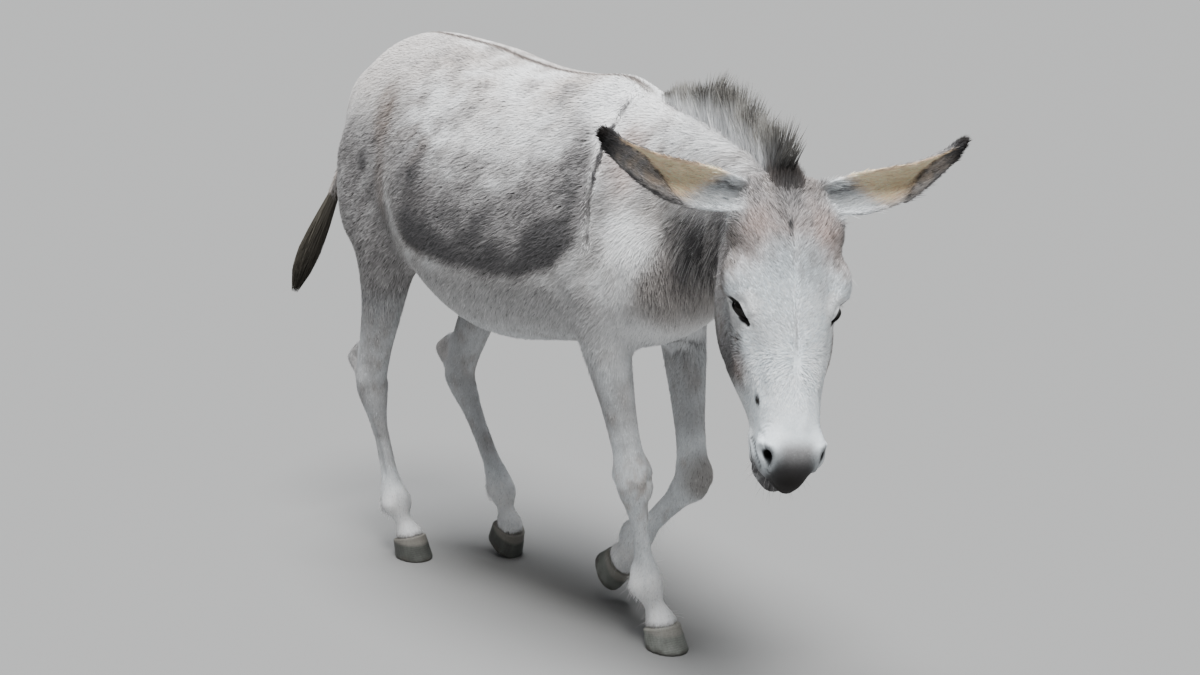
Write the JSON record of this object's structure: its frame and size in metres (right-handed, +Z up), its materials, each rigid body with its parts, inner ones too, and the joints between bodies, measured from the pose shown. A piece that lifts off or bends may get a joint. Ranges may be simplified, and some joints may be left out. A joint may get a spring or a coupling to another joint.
{
  "type": "donkey model",
  "caption": "Life-size still model of a pale grey donkey walking with its head lowered, one fore hoof lifted and the other hind hoof on its toe.",
  "frame": {"origin": "middle of the bounding box at the ground, where the hooves stand", "axes": "+Z up; the animal faces -Y, with its left side towards +X"},
  "size_m": [0.645, 1.6718, 1.1907],
  "materials": {
    "coat": "short white and grey-brown hair, matte",
    "ear": "short pale grey hair with tan and black markings",
    "mane": "upright dark hair with pale streaks",
    "tail_hair": "long tan and dark hair",
    "eye": "wet, near black",
    "horn": "dusty grey-brown horn"
  },
  "bodies": {
    "root": {"trunk": "coat", "neck": "coat", "head": "coat", "leg_right_fore": "coat", "leg_left_fore": "coat", "leg_right_hind": "coat", "leg_left_hind": "coat", "tail": "coat", "ear_right": "ear", "ear_left": "ear", "mane": "mane", "tail_switch": "tail_hair", "eye_right": "eye", "eye_left": "eye", "hoof_right_fore": "horn", "hoof_left_fore": "horn", "hoof_right_hind": "horn", "hoof_left_hind": "horn"}
  },
  "joints": []
}
